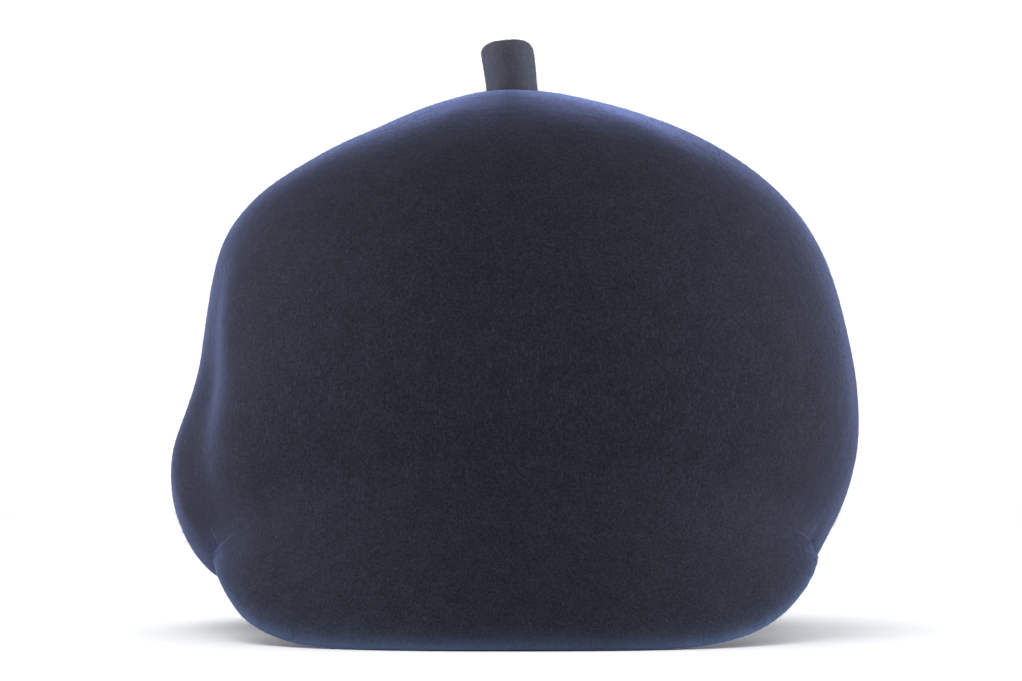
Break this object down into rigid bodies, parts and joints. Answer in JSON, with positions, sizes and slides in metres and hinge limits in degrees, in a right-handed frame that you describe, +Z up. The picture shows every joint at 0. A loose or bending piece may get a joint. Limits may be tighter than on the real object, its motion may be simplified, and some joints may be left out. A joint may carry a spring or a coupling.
{
  "type": "peaked felt hat",
  "caption": "Soft felt hat with a full ballooning crown over a deep, steep curved peak and a short felt stalk on top, resting on its peak and its back.",
  "frame": {"origin": "middle of the hat's bounding box, on the table that it rests on", "axes": "+Z up, -Y the way the peak points, +X to the right of someone who looks at the peak"},
  "size_m": [0.2252, 0.2738, 0.1963],
  "materials": {
    "crown_felt": "soft napped felt, dark navy",
    "peak_felt": "soft napped felt, dark navy",
    "stalk_felt": "rolled felt, dark navy"
  },
  "bodies": {
    "root": {"crown": "crown_felt", "peak": "peak_felt", "stalk": "stalk_felt"}
  },
  "joints": []
}
